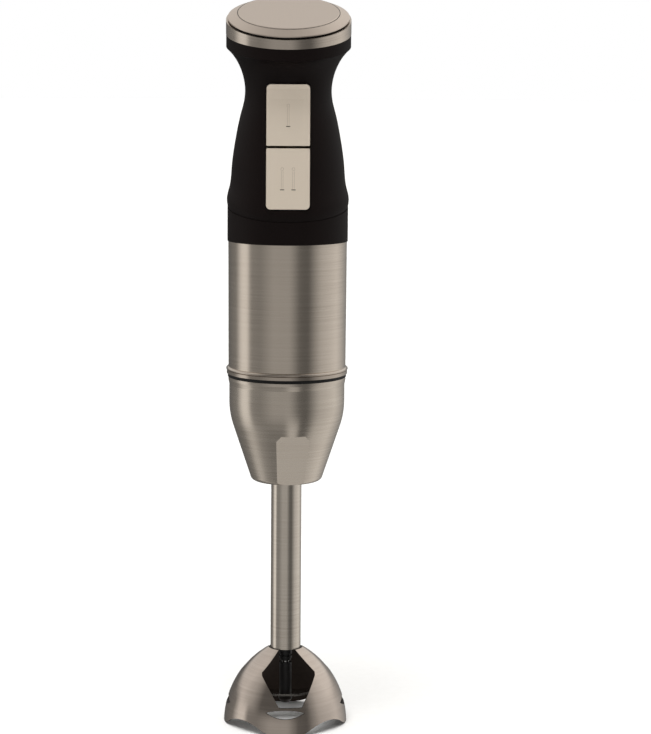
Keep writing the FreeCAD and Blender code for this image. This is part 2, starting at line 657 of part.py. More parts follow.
def make_socket():
    """The bayonet socket: three entry slots that open into grooves for the leg's lugs."""
    body = new_body("socket_ring")
    bore = d.spigot_radius + d.socket_gap
    outer = d.spigot_radius + 3.2
    web_low = d.spigot_top + 3.5
    corners = [
        (bore, d.unit_low + 0.1), (outer, d.unit_low + 0.1), (outer, d.cradle_low - 0.3), (10.0, d.cradle_low - 0.3),
        (10.0, web_low), (bore, web_low),
    ]
    spun(body, outline(body, "XZ_Plane", corners))
    reach = d.lug_reach + d.socket_gap
    entry = [(bore - 0.5, d.unit_low - 1.0), (reach, d.unit_low - 1.0), (reach, d.lug_top), (bore - 0.5, d.lug_top)]
    entry_sketch = outline(body, "XZ_Plane", entry)
    repeated(body, spun(body, entry_sketch, "Groove", d.lug_angle + 4.0), d.lug_count)
    track_low = d.lug_low - d.socket_gap
    track_high = d.lug_top + d.socket_gap
    track = [(bore - 0.5, track_low), (reach, track_low), (reach, track_high), (bore - 0.5, track_high)]
    track_sketch = outline(body, "XZ_Plane", track, turn=d.twist_angle / 2.0)
    sweep = d.lug_angle + d.twist_angle + 4.0
    repeated(body, spun(body, track_sketch, "Groove", sweep), d.lug_count)
    keep(body, "socket_ring")


def make_head():
    """The slanted head: a black plug, the steel band round it, and the bevelled cap with its inlaid disc."""
    top = d.band_high
    tilt = d.cap_tilt
    band_out = lofted("band_outside", [(d.band_low, d.band_radius, d.band_low_tilt), (top, d.band_radius, tilt)])
    inner = d.band_radius - d.band_wall
    band_in = lofted("band_inside", [(d.band_low, inner, d.band_low_tilt), (top, inner, tilt)])
    keep(cut("band_ring", band_out, band_in), "head_band")
    fit = inner - 0.05
    skirt = d.band_radius - 0.1 - d.shell_wall - 0.1
    upper = lofted("plug_upper", [(d.band_low, fit, d.band_low_tilt), (top + d.cap_gap, fit, tilt)])
    lower = lofted("plug_lower", [(d.band_low - d.plug_depth, skirt, 13.8), (d.band_low, skirt, d.band_low_tilt)])
    hollow = lofted("plug_hollow", [(350.0, skirt - 2.0, 13.8), (top - 2.2, skirt - 2.0, tilt)])
    keep(cut("plug_hollowed", joined("plug_whole", [upper, lower]), hollow), "head_plug")
    foot = top + d.cap_gap
    rim = lofted("cap_rim", [(foot, d.cap_radius, tilt), (foot + d.cap_edge, d.cap_radius, tilt)])
    bevel = lofted("cap_bevel", [
        (foot + d.cap_edge, d.cap_radius, tilt), (foot + d.cap_rise, d.cap_seat + 0.25, tilt)])
    seat_high = foot + d.cap_rise + d.disc_proud - d.disc_thickness
    seat = lofted("cap_seat", [(seat_high, d.cap_seat, tilt), (foot + d.cap_rise + 3.0, d.cap_seat, tilt)])
    keep(cut("cap_ring", joined("cap_whole", [rim, bevel]), seat), "top_cap")
    disc_top = foot + d.cap_rise + d.disc_proud
    disc = lofted("disc_blank", [
        (seat_high, d.disc_radius, tilt), (disc_top - 0.3, d.disc_radius, tilt),
        (disc_top, d.disc_radius - 0.4, tilt)])
    keep(disc, "top_disc")


def front_face(height):
    """How far in front of the axis a button's face lies at a height: just proud of the grip."""
    slices = [(h - number(r) * math.tan(math.radians(number(t))), r) for h, r, t in
              [(number(h), number(r), number(t)) for h, r, t in handle_slices(0.0)]]
    for (low, low_radius), (high, high_radius) in zip(slices, slices[1:]):
        if low <= height <= high:
            share = (height - low) / (high - low)
            return -(low_radius + share * (high_radius - low_radius)) - number(d.button_proud)
    raise ValueError(f"no grip at {height}")


def button_profile(low, high, depth_front, depth_back, steps=4):
    """The side view of a layer of the button that lies between two depths behind its face."""
    heights = [low + (high - low) * index / steps for index in range(steps + 1)]
    front = [(front_face(height) + depth_front, height) for height in heights]
    back = [(front_face(height) + depth_back, height) for height in reversed(heights)]
    return front + back


def make_button(index, low, high, switch_height):
    """A metal-look key: a plate that follows the grip, a skirt, a retaining flange and a post to the switch."""
    name = f"button_speed_{index}"
    half = number(d.button_half)
    corner = number(d.button_corner)
    tight = 0.5
    top_corner = corner if index == 1 else tight
    low_corner = tight if index == 1 else corner
    body = new_body(f"{name}_body")
    corners = [
        (-half, low + low_corner), (-half + low_corner, low, low_corner), (half - low_corner, low),
        (half, low + low_corner, low_corner), (half, high - top_corner), (half - top_corner, high, top_corner),
        (-half + top_corner, high), (-half, high - top_corner, top_corner),
    ]
    extruded(body, outline(body, "XZ_Plane", corners), 45.0)
    depth = number(d.button_depth)
    slab = new_body(f"{name}_slab")
    side = button_profile(low - 3.0, high + 3.0, 0.0, depth, 14)
    extruded(slab, outline(slab, "YZ_Plane", side), 60.0, both=True)
    plate = common(f"{name}_block", body, slab)
    wall = number(d.button_wall)
    hollow_body = new_body(f"{name}_hollow")
    side = button_profile(low - 3.0, high + 3.0, number(d.button_plate), depth + 5.0, 6)
    extruded(hollow_body, outline(hollow_body, "YZ_Plane", side), (half - wall) * 2.0, both=True)
    inside = block(f"{name}_inside", (-half, -45.0, low + wall), (half, 0.0, high - wall))
    shell = cut(f"{name}_shell", plate, common(f"{name}_cavity", hollow_body, inside))
    flange = new_body(f"{name}_flange")
    flange_low = low - (0.0 if index == 1 else number(d.button_flange))
    flange_high = high + (number(d.button_flange) if index == 1 else 0.0)
    side = button_profile(flange_low, flange_high, depth - number(d.button_flange), depth, 6)
    extruded(flange, outline(flange, "YZ_Plane", side), (half + number(d.button_flange)) * 2.0, both=True)
    bore = block(f"{name}_bore", (wall - half, -45.0, low + wall), (half - wall, 0.0, high - wall))
    rim = cut(f"{name}_rim", flange, bore)
    tip = number(d.plunger_tip)
    face = front_face(switch_height)
    post = rod(f"{name}_post", 2.0, tip - (face + 1.0), (0.0, face + 1.0, switch_height), "y")
    keep(joined(f"{name}_whole", [shell, rim, post]), name)

    seat = number(d.board_front) - number(d.switch_depth)
    start = front_face(switch_height + 3.6) + number(d.button_plate) + 0.5
    coil_spring(f"button_spring_{index}", (0.0, start, switch_height), seat - 0.4 - start, 3.2, 0.35)
    plunger = rod(f"plunger_blank_{index}", d.plunger_radius, 4.7, (0.0, d.plunger_tip, switch_height), "y")
    keep(plunger, f"plunger_{index}")
    size = number(d.switch_size)
    case = block(f"switch_case_{index}", (-size / 2, seat, switch_height - size / 2),
                 (size / 2, number(d.board_front), switch_height + size / 2))
    bore = rod(f"switch_bore_{index}", d.plunger_radius + 0.3, 5.2, (0.0, seat - 0.1, switch_height), "y")
    keep(cut(f"switch_whole_{index}", case, bore), f"switch_{index}")


def coil_spring(label, start, length, radius, wire):
    """A coil along +Y from its start, drawn with round wire."""
    body = new_body(label)
    sketch = round_outline(body, "XZ_Plane", [(radius, 0.0, wire)])
    coil = body.newObject("PartDesign::AdditiveHelix", f"{label}_coil")
    coil.Profile = sketch
    coil.ReferenceAxis = (origin_item(body, "Z_Axis"), [""])
    coil.Mode = 0
    coil.Pitch = length / 4.0
    coil.Height = length
    body.Placement = FreeCAD.Placement(V(*start), FreeCAD.Rotation(V(1, 0, 0), -90))
    return keep(body, label)


def make_board():
    """The control board behind the buttons, with its capacitor, diodes, chokes and screws."""
    low = number(d.board_low)
    top = number(d.board_top)
    half = number(d.board_half)
    body = new_body("control_board")
    corners = [
        (-half, low), (half, low), (half, 301.5), (18.2, 301.5), (18.2, 311.5), (half, 311.5), (half, top),
        (-half, top), (-half, 311.5), (-18.2, 311.5), (-18.2, 301.5), (-half, 301.5),
    ]
    front = number(d.board_front)
    thickness = number(d.board_thickness)
    extruded(body, outline(body, "XZ_Plane", corners, at=(0.0, 0.0, -front)), thickness, flip=True)
    holes = round_outline(body, "XZ_Plane", [(15.6, 306.5, 1.3), (-15.6, 306.5, 1.3)])
    extruded(body, holes, 60.0, "Pocket", both=True)
    keep(body, "control_board")
    back = front + thickness
    keep(block("capacitor_block", (-9.0, back, 318.0), (9.0, back + 8.0, 334.0)), "suppression_capacitor")
    diodes = [rod(f"diode_{index}", 1.3, 5.0, (-7.5 + index * 3.4, back + 1.3, 309.0)) for index in range(4)]
    keep(grouped("diode_set", diodes), "board_diodes")
    chokes = [rod(f"choke_{index}", 2.6, 12.0, (across, back + 2.6, 290.0))
              for index, across in enumerate((-6.0, 6.0))]
    keep(grouped("choke_set", chokes), "choke_coils")
    screws = []
    for index, across in enumerate((-15.6, 15.6)):
        head = rod(f"board_screw_head_{index}", 2.1, 1.5, (across, back, 306.5), "y")
        shank = rod(f"board_screw_shank_{index}", 1.0, 7.5, (across, back - 7.4, 306.5), "y")
        screws.append(joined(f"board_screw_{index}", [head, shank]))
    keep(grouped("board_screw_set", screws), "board_screws")
    screws = []
    for index, sign in enumerate((-1.0, 1.0)):
        across = d.screw_across * sign
        head = rod(f"handle_screw_head_{index}", 2.6, 2.0, (across, 9.0, d.screw_height), "y")
        shank = rod(f"handle_screw_shank_{index}", 1.4, 18.0, (across, -9.0, d.screw_height), "y")
        screws.append(joined(f"handle_screw_{index}", [head, shank]))
    keep(grouped("handle_screw_set", screws), "handle_screws")


def make_cord_inlet():
    """The rubber gland at the back of the head, and the saddle that would clamp a cord inside."""
    height = d.gland_height
    sleeve = rod("gland_sleeve", d.gland_radius, d.gland_outer - d.gland_inner, (0.0, d.gland_inner, height), "y")
    lip = rod("gland_lip", d.gland_radius + 1.0, 1.6, (0.0, d.gland_outer - 1.6, height), "y")
    flange = rod("gland_flange", d.gland_radius + 1.3, 1.6, (0.0, d.gland_inner, height), "y")
    bore = rod("gland_passage", d.gland_bore, 40.0, (0.0, 5.0, height), "y")
    whole = joined("gland_whole", [sleeve, lip, flange])
    keep(cut("gland_bored", whole, bore), "cord_gland")
    saddle = block("saddle_block", (-9.0, 8.0, height - 5.5), (9.0, 14.0, height - 1.0))
    keep(cut("saddle_cut", saddle, rod("saddle_groove", d.gland_bore + 0.3, 40.0, (0.0, 0.0, height), "y")),
         "cord_clamp")
    screws = [rod(f"clamp_screw_{index}", 1.2, 3.0, (across, 11.0, height - 1.0))
              for index, across in enumerate((-6.8, 6.8))]
    keep(grouped("clamp_screw_set", screws), "clamp_screws")


# ---- motor --------------------------------------------------------------------------------------------------

def bolt_holes(body):
    """The pair of holes for the bolts that clamp the brackets onto the field."""
    radius = d.bolt_radius + 0.1
    circles = [(0.0, d.bolt_circle, radius), (0.0, -d.bolt_circle, radius)]
    extruded(body, round_outline(body, "XY_Plane", circles), 600.0, "Pocket", both=True)


def make_motor_frame():
    """The cradle in the sleeve, the two end brackets and their bearings."""
    body = new_body("motor_cradle")
    inner = d.cradle_radius - d.cradle_wall
    corners = [
        (inner, d.cradle_low), (d.cradle_radius, d.cradle_low), (d.cradle_radius, d.cradle_top),
        (inner, d.cradle_top),
    ]
    spun(body, outline(body, "XZ_Plane", corners))
    window = [(-9.0, 213.0), (9.0, 213.0), (9.0, 250.0), (-9.0, 250.0)]
    sketch = outline(body, "XZ_Plane", window, turn=45.0, at=(0.0, 0.0, 10.0))
    repeated(body, extruded(body, sketch, 30.0, "Pocket", flip=True), 4)
    keep(body, "motor_cradle")

    hub = d.bearing_radius + 2.0
    lower = new_body("lower_bracket")
    corners = [
        (d.bearing_radius, 204.5), (hub, 204.5), (hub, 206.0), (inner - 0.1, 206.0), (inner - 0.1, 208.0),
        (hub, 208.0), (hub, 210.8), (d.bearing_radius, 210.8),
    ]
    spun(lower, outline(lower, "XZ_Plane", corners))
    vents = outline(lower, "XY_Plane", [(13.0, -6.0), (22.0, -8.0), (22.0, 8.0), (13.0, 6.0)])
    repeated(lower, extruded(lower, vents, 500.0, "Pocket", both=True), 4)
    bolt_holes(lower)
    keep(lower, "lower_bracket")
    upper_hub = d.upper_bearing_radius + 2.0
    upper = new_body("upper_bracket")
    corners = [
        (d.upper_bearing_radius, 255.6), (inner - 0.1, 255.6), (inner - 0.1, 257.6), (upper_hub, 257.6),
        (upper_hub, 261.5), (d.upper_bearing_radius, 261.5),
    ]
    spun(upper, outline(upper, "XZ_Plane", corners))
    vents = outline(upper, "XY_Plane", [(12.0, -6.0), (22.0, -8.0), (22.0, 8.0), (12.0, 6.0)])
    vents.AttachmentOffset = FreeCAD.Placement(V(0, 0, 0), FreeCAD.Rotation(V(0, 0, 1), 45))
    repeated(upper, extruded(upper, vents, 600.0, "Pocket", both=True), 4)
    bolt_holes(upper)
    keep(upper, "upper_bracket")
    bolts = []
    for index, across in enumerate((d.bolt_circle, -d.bolt_circle)):
        head = rod(f"bolt_head_{index}", 2.0, 1.4, (0.0, across, 257.6))
        shank = rod(f"bolt_shank_{index}", d.bolt_radius, 52.5, (0.0, across, 205.2))
        bolts.append(joined(f"bolt_{index}", [head, shank]))
    keep(grouped("bolt_pair", bolts), "motor_bolts")
    bore = d.motor_shaft_radius + d.running_gap
    for label, outer, low in (("lower_bearing", d.bearing_radius, 205.2), ("upper_bearing",
                                                                           d.upper_bearing_radius, 256.2)):
        high = low + 4.6
        groove = (outer + bore) / 2.0
        turned(label, [
            (bore, low), (groove - 0.9, low), (groove - 0.9, low + 0.5), (groove + 0.9, low + 0.5),
            (groove + 0.9, low), (outer, low), (outer, high), (groove + 0.9, high), (groove + 0.9, high - 0.5),
            (groove - 0.9, high - 0.5), (groove - 0.9, high), (bore, high),
        ])


def make_stator():
    """The field: a laminated ring with two poles, and a coil round each pole."""
    height = d.stack_top - d.stack_low
    body = new_body("stator_core")
    extruded(body, round_outline(body, "XY_Plane", [(0.0, 0.0, d.stack_radius)], lift=d.stack_low), height)
    extruded(body, round_outline(body, "XY_Plane", [(0.0, 0.0, d.yoke_radius)], lift=d.stack_top), height, "Pocket")
    pole = outline(body, "XY_Plane", [
        (-8.0, 23.0), (-8.0, 15.5), (-12.0, 15.5), (-12.0, 7.0), (12.0, 7.0), (12.0, 15.5), (8.0, 15.5),
        (8.0, 23.0)], at=(0.0, 0.0, d.stack_low))
    repeated(body, extruded(body, pole, height), 2)
    bore = round_outline(body, "XY_Plane", [(0.0, 0.0, d.bore_radius)], lift=d.stack_top)
    extruded(body, bore, height, "Pocket")
    bolt_holes(body)
    keep(body, "stator_core")
    coil = new_body("field_coil")
    low = d.stack_low - 0.2
    high = d.stack_top + 0.2
    wide = 12.2
    extruded(coil, outline(coil, "XZ_Plane", [
        (-wide, low - 3.6), (wide, low - 3.6), (wide, high + 3.6), (-wide, high + 3.6)], at=(0.0, 0.0, -18.4)), 2.6)
    inner = outline(coil, "XZ_Plane", [(-8.2, low), (8.2, low), (8.2, high), (-8.2, high)], at=(0.0, 0.0, -10.0))
    extruded(coil, inner, 20.0, "Pocket")
    doc.recompute()
    keep(grouped("field_coil_pair", [coil, half_turned("field_coil_back", coil)]), "field_coils")


def make_rotor():
    """Everything that spins with the motor's shaft."""
    radius = d.motor_shaft_radius
    turned("rotor_shaft", [
        (0.0, d.motor_shaft_low), (radius, d.motor_shaft_low), (radius, d.motor_shaft_top),
        (0.0, d.motor_shaft_top),
    ])
    height = d.stack_top - d.stack_low
    core = new_body("rotor_core")
    blank = round_outline(core, "XY_Plane", [(0.0, 0.0, d.rotor_radius), (0.0, 0.0, radius)], lift=d.stack_low)
    extruded(core, blank, height)
    slot = outline(core, "XY_Plane", [(7.0, -1.2), (14.0, -1.2), (14.0, 1.2), (7.0, 1.2)], at=(0.0, 0.0, d.stack_top))
    repeated(core, extruded(core, slot, height, "Pocket"), d.rotor_slots)
    keep(core, "rotor_core")
    windings = new_body("rotor_windings")
    low = d.stack_low - 0.1
    high = d.stack_top + 0.1
    spun(windings, outline(windings, "XZ_Plane", [
        (radius + 1.5, high), (11.0, high), (11.8, high + 1.2), (10.6, high + 3.6), (radius + 1.5, high + 3.6)]))
    spun(windings, outline(windings, "XZ_Plane", [
        (radius + 1.5, low), (radius + 1.5, low - 3.4), (10.6, low - 3.4), (11.8, low - 1.2), (11.0, low)]))
    bar = outline(windings, "XY_Plane", [(7.2, -1.1), (11.0, -1.1), (11.0, 1.1), (7.2, 1.1)], at=(0.0, 0.0, low - 0.5))
    repeated(windings, extruded(windings, bar, height + 1.2), d.rotor_slots)
    keep(windings, "rotor_windings")
    commutator = new_body("commutator")
    blank = round_outline(commutator, "XY_Plane", [(0.0, 0.0, d.commutator_radius), (0.0, 0.0, radius)],
                          lift=d.commutator_low)
    extruded(commutator, blank, d.commutator_top - d.commutator_low)
    slit = outline(commutator, "XY_Plane", [(6.8, -0.25), (9.0, -0.25), (9.0, 0.25), (6.8, 0.25)],
                   at=(0.0, 0.0, d.commutator_top))
    repeated(commutator, extruded(commutator, slit, d.commutator_top - d.commutator_low, "Pocket"), 12)
    keep(commutator, "commutator")
    fan = new_body("cooling_fan")
    spun(fan, outline(fan, "XZ_Plane", [
        (radius, d.fan_low), (5.0, d.fan_low), (5.0, d.fan_top - 1.0), (d.fan_radius, d.fan_top - 1.0),
        (d.fan_radius, d.fan_top), (radius, d.fan_top)]))
    vane = outline(fan, "XY_Plane", [(9.0, -0.6), (21.0, -0.6), (21.0, 0.6), (9.0, 0.6)], at=(0.0, 0.0, d.fan_low))
    repeated(fan, extruded(fan, vane, d.fan_top - d.fan_low - 0.5), d.fan_blades)
    keep(fan, "cooling_fan")
    coupling = new_body("motor_coupling")
    spun(coupling, outline(coupling, "XZ_Plane", [
        (radius, d.motor_jaw_top), (d.jaw_outer, d.motor_jaw_top), (d.jaw_outer, d.motor_jaw_top + 3.0),
        (6.0, d.motor_jaw_top + 3.0), (6.0, d.coupling_top), (radius, d.coupling_top)]))
    jaws(coupling, d.motor_jaw_low, d.motor_jaw_top + 0.5, 0.0)
    keep(coupling, "motor_coupling")


def make_brushes():
    """Two brass holders with a carbon brush and a spring in each."""
    half = d.brush_size / 2.0
    middle = (number(d.commutator_low) + number(d.commutator_top)) / 2.0
    gap = 0.1
    case = block("holder_case", (9.2, -3.4, middle - 3.4), (number(d.holder_outer), 3.4, 255.5))
    channel = block("holder_channel", (5.0, -number(half) - gap, middle - number(half) - gap),
                    (30.0, number(half) + gap, middle + number(half) + gap))
    holder = cut("brush_holder_right", case, channel)
    brush = block("brush_right", (number(d.commutator_radius) + 0.1, -number(half), middle - number(half)),
                  (16.0, number(half), middle + number(half)))
    spring = new_body("brush_spring_right")
    sketch = round_outline(spring, "XZ_Plane", [(1.9, 0.0, 0.25)])
    coil = spring.newObject("PartDesign::AdditiveHelix", "brush_spring_coil")
    coil.Profile = sketch
    coil.ReferenceAxis = (origin_item(spring, "Z_Axis"), [""])
    coil.Mode = 0
    coil.Pitch = 1.8
    coil.Height = 7.2
    spring.Placement = FreeCAD.Placement(V(16.3, 0, middle), FreeCAD.Rotation(V(0, 1, 0), 90))
    doc.recompute()
    for label, piece in (("brush_holders", holder), ("carbon_brushes", brush), ("brush_springs", spring)):
        keep(grouped(f"{label}_pair", [piece, half_turned(f"{label}_left", piece)]), label)


make_blade_guard()
make_leg_bearings()
make_leg_bell()
make_leg_core()
make_drive()
make_blade()
make_handle_shells()
make_handle_collar()
make_sleeve()
make_socket()
make_head()
make_button(1, number(d.button_1_low), number(d.button_1_top), number(d.switch_1_height))
make_button(2, number(d.button_2_low), number(d.button_2_top), number(d.switch_2_height))
make_board()
make_cord_inlet()
make_motor_frame()
make_stator()
make_rotor()
make_brushes()
doc.recompute()

for item in doc.Objects:
    if "Invalid" in item.State or "Error" in item.State:
        raise RuntimeError(f"{item.Name} failed: {item.State}")
for item in sub_parts:
    if item.Shape.isNull() or not item.Shape.isValid() or not item.Shape.Solids:
        raise RuntimeError(f"{item.Label} has no valid solid")
    if any(solid.Volume <= 0 for solid in item.Shape.Solids):
        raise RuntimeError(f"{item.Label} is inside out")

os.makedirs("parts", exist_ok=True)
for item in sub_parts:
    item.Shape.exportStep(f"parts/{item.Label}.step")
print(f"{len(sub_parts)} sub-parts written")
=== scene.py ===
"""Immersion blender: the finishes, the pressed and printed details, and the studio it stands in.

Everything is in metres in the model's own frame: +Z up, the keys towards -Y, the guard's feet at height zero.
After the camera, the table and the light comes one section for each piece or group of like pieces: the outside of
the handle, then its inside, then the leg down to the blade.
"""
import math

import bmesh
import bpy
from mathutils import Matrix, Vector
from mathutils.bvhtree import BVHTree


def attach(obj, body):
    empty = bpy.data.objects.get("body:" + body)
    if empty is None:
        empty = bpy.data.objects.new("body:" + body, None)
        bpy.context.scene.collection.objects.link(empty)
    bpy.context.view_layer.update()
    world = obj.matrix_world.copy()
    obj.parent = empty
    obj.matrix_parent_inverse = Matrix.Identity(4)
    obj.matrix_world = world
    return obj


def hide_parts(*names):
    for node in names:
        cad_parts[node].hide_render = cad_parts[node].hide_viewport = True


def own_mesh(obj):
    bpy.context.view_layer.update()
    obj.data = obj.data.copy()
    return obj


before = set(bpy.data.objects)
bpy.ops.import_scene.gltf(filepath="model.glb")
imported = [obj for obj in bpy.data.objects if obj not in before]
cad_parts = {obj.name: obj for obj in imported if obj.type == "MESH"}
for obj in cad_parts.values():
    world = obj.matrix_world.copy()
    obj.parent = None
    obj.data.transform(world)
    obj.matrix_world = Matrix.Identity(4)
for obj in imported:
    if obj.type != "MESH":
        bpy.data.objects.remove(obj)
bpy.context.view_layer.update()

# ---- Camera ------------------------------------------------------------------------------------------------
# A long lens a little over a metre from the object, just under its head, looking slightly down. The object
# stands left of the middle, which the lens shift gives without turning the camera.
camera_data = bpy.data.cameras.new("camera")
camera_data.lens = 109.0
camera_data.shift_x = 0.0525
camera = bpy.data.objects.new("camera", camera_data)
bpy.context.collection.objects.link(camera)
looking_down = Matrix.Rotation(math.radians(90.0 - 8.2), 4, "X")
camera_roll = Matrix.Rotation(math.radians(0.3), 4, "Z")
camera.matrix_world = Matrix.Translation((0.0, -1.1536, 0.3567)) @ looking_down @ camera_roll
bpy.context.scene.camera = camera
bpy.context.scene.view_settings.view_transform = "Standard"


# ---- Table top ---------------------------------------------------------------------------------------------
# A wide sheet of matt white laminate that runs on far behind the object. It is kept out of the metal's
# reflections, so that the steel shows the tent of light and not the table.
def linear(code):
    """An sRGB hex colour as linear light, with full opacity."""
    parts = [int(code[index:index + 2], 16) / 255.0 for index in (1, 3, 5)]
    return tuple(p / 12.92 if p <= 0.04045 else ((p + 0.055) / 1.055) ** 2.4 for p in parts) + (1.0,)


def add_node(tree, kind, sockets=None, **settings):
    """Adds a node: settings are its own properties, and sockets gives each input a value or what feeds it."""
    node = tree.nodes.new(kind)
    for name, value in settings.items():
        setattr(node, name, value)
    for name, value in (sockets or {}).items():
        if isinstance(value, bpy.types.NodeSocket):
            tree.links.new(value, node.inputs[name])
        else:
            node.inputs[name].default_value = value
    return node


def new_material(name):
    """An empty material, its node tree, and the position on the object that its pattern follows."""
    material = bpy.data.materials.new(name)
    material.use_nodes = True
    tree = material.node_tree
    tree.nodes.clear()
    return material, tree, add_node(tree, "ShaderNodeTexCoord").outputs["Object"]


def show(tree, shader):
    """Makes a shader the surface of its material."""
    add_node(tree, "ShaderNodeOutputMaterial", {"Surface": shader.outputs[0]})


def mesh_object(name, mesh_maker):
    """A new object at the origin whose mesh holds its place, from a bmesh that is freed afterwards."""
    mesh = bpy.data.meshes.new(name)
    mesh_maker.to_mesh(mesh)
    mesh_maker.free()
    made = bpy.data.objects.new(name, mesh)
    bpy.context.collection.objects.link(made)
    return made


table_mesh = bmesh.new()
bmesh.ops.create_circle(table_mesh, cap_ends=True, segments=96, radius=14.0)
table_top = mesh_object("table_top", table_mesh)
table_top.visible_glossy = False
laminate, tree, position = new_material("white_laminate")
grain = add_node(tree, "ShaderNodeTexNoise", {"Vector": position, "Scale": 240.0, "Detail": 3.0})
tint = add_node(tree, "ShaderNodeMixRGB", {"Fac": grain.outputs[0], "Color1": linear("#F4F4F2"),
                                           "Color2": linear("#FAFAF9")})
show(tree, add_node(tree, "ShaderNodeBsdfPrincipled", {"Base Color": tint.outputs[0], "Roughness": 0.7}))
table_top.data.materials.append(laminate)

# ---- Studio light ------------------------------------------------------------------------------------------
# A white tent with a broad window of light on the right, a narrow strip on the left and a dark gap between the
# window and the camera, which is what draws the upright bands on round brushed steel. A soft lamp overhead
# lights the table and the keys and is not seen in the metal.
studio = bpy.data.worlds.new("studio")
bpy.context.scene.world = studio
studio.use_nodes = True
tree = studio.node_tree
tree.nodes.clear()
ray = add_node(tree, "ShaderNodeTexCoord").outputs["Generated"]
parts = add_node(tree, "ShaderNodeSeparateXYZ", {"Vector": ray})
towards_camera = add_node(tree, "ShaderNodeMath", {0: parts.outputs["Y"], 1: -1.0}, operation="MULTIPLY")
turn = add_node(tree, "ShaderNodeMath", {0: parts.outputs["X"], 1: towards_camera.outputs[0]}, operation="ARCTAN2")
share = add_node(tree, "ShaderNodeMath", {0: turn.outputs[0], 1: 1.0 / math.tau, 2: 0.5}, operation="MULTIPLY_ADD")


def ring_of_light(levels):
    """How bright the tent is all the way round, from (degrees from the camera towards +X, level) stops."""
    band = add_node(tree, "ShaderNodeValToRGB", {"Fac": share.outputs[0]})
    stops = band.color_ramp.elements
    for angle, level in levels:
        first_or_last = {-180: 0, 180: len(stops) - 1}.get(angle)
        stop = stops.new(angle / 360.0 + 0.5) if first_or_last is None else stops[first_or_last]
        stop.color = (level, level * 0.985, level * 0.965, 1.0)
    return band.outputs["Color"]


low_ring = ring_of_light(((-180, 0.12), (180, 0.12), (-150, 0.16), (-118, 0.26), (-100, 0.90), (-86, 0.92),
                          (-76, 0.28), (-55, 0.27), (-28, 0.46), (4, 0.45), (24, 0.16), (42, 0.13), (70, 0.56),
                          (112, 0.80), (150, 0.36)))
high_ring = ring_of_light(((-180, 0.72), (180, 0.72), (-105, 0.80), (-75, 0.50), (-52, 0.14), (42, 0.12),
                           (70, 0.62), (105, 0.95), (145, 0.95)))
floor_ring = ring_of_light(((-180, 0.14), (180, 0.14), (-115, 0.22), (-98, 0.55), (-84, 0.55), (-74, 0.34),
                            (-45, 0.22), (-6, 0.22), (10, 0.66), (24, 0.66), (32, 0.14), (50, 0.16), (66, 0.56),
                            (112, 0.82), (150, 0.36)))
from_floor = add_node(tree, "ShaderNodeMapRange", {"Value": parts.outputs["Z"], "From Min": -0.62,
                                                   "From Max": -0.36}, interpolation_type="SMOOTHSTEP")
level_ring = add_node(tree, "ShaderNodeMixRGB", {"Fac": from_floor.outputs[0], "Color1": floor_ring,
                                                 "Color2": low_ring})
above_eye = add_node(tree, "ShaderNodeMapRange", {"Value": parts.outputs["Z"], "From Min": 0.06,
                                                  "From Max": 0.30}, interpolation_type="SMOOTHSTEP")
roof = add_node(tree, "ShaderNodeMapRange", {"Value": parts.outputs["Z"], "From Min": 0.82, "From Max": 0.97},
                interpolation_type="SMOOTHSTEP")
walls = add_node(tree, "ShaderNodeMixRGB", {"Fac": above_eye.outputs[0], "Color1": level_ring.outputs[0],
                                            "Color2": high_ring})
tent = add_node(tree, "ShaderNodeMixRGB", {"Fac": roof.outputs[0], "Color1": walls.outputs[0],
                                           "Color2": (0.42, 0.41, 0.40, 1.0)})
seen = add_node(tree, "ShaderNodeLightPath").outputs["Is Camera Ray"]
lit = add_node(tree, "ShaderNodeMixRGB", {"Fac": seen, "Color1": tent.outputs[0], "Color2": (1.0, 1.0, 1.0, 1.0)})
backdrop = add_node(tree, "ShaderNodeBackground", {"Color": lit.outputs[0], "Strength": 1.0})
add_node(tree, "ShaderNodeOutputWorld", {"Surface": backdrop.outputs[0]})

overhead_data = bpy.data.lights.new("overhead_lamp", "SUN")
overhead_data.energy = 2.6
overhead_data.angle = math.radians(40.0)
overhead = bpy.data.objects.new("overhead_lamp", overhead_data)
bpy.context.collection.objects.link(overhead)
lamp_turn = Matrix.Rotation(math.radians(-18.0), 4, "Z")
lamp_tip = Matrix.Rotation(math.radians(19.0), 4, "X")
overhead.matrix_world = lamp_turn @ lamp_tip
overhead.visible_glossy = False


# ---- Steel sleeve, trim ring and head band -----------------------------------------------------------------
# Thin stainless sheet, rolled and welded, then brushed round with a fine belt. The scratches run round the
# body and lean with the band on the head, so the light is drawn out up and down in upright bands. Real
# scratches are far finer. Here they are about 0.7 mm to 1.1 mm apart, which is about as fine as shows.
def coat(material, *nodes):
    """Gives CAD nodes their finish."""
    for name in nodes:
        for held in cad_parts[name].material_slots:
            held.material = material


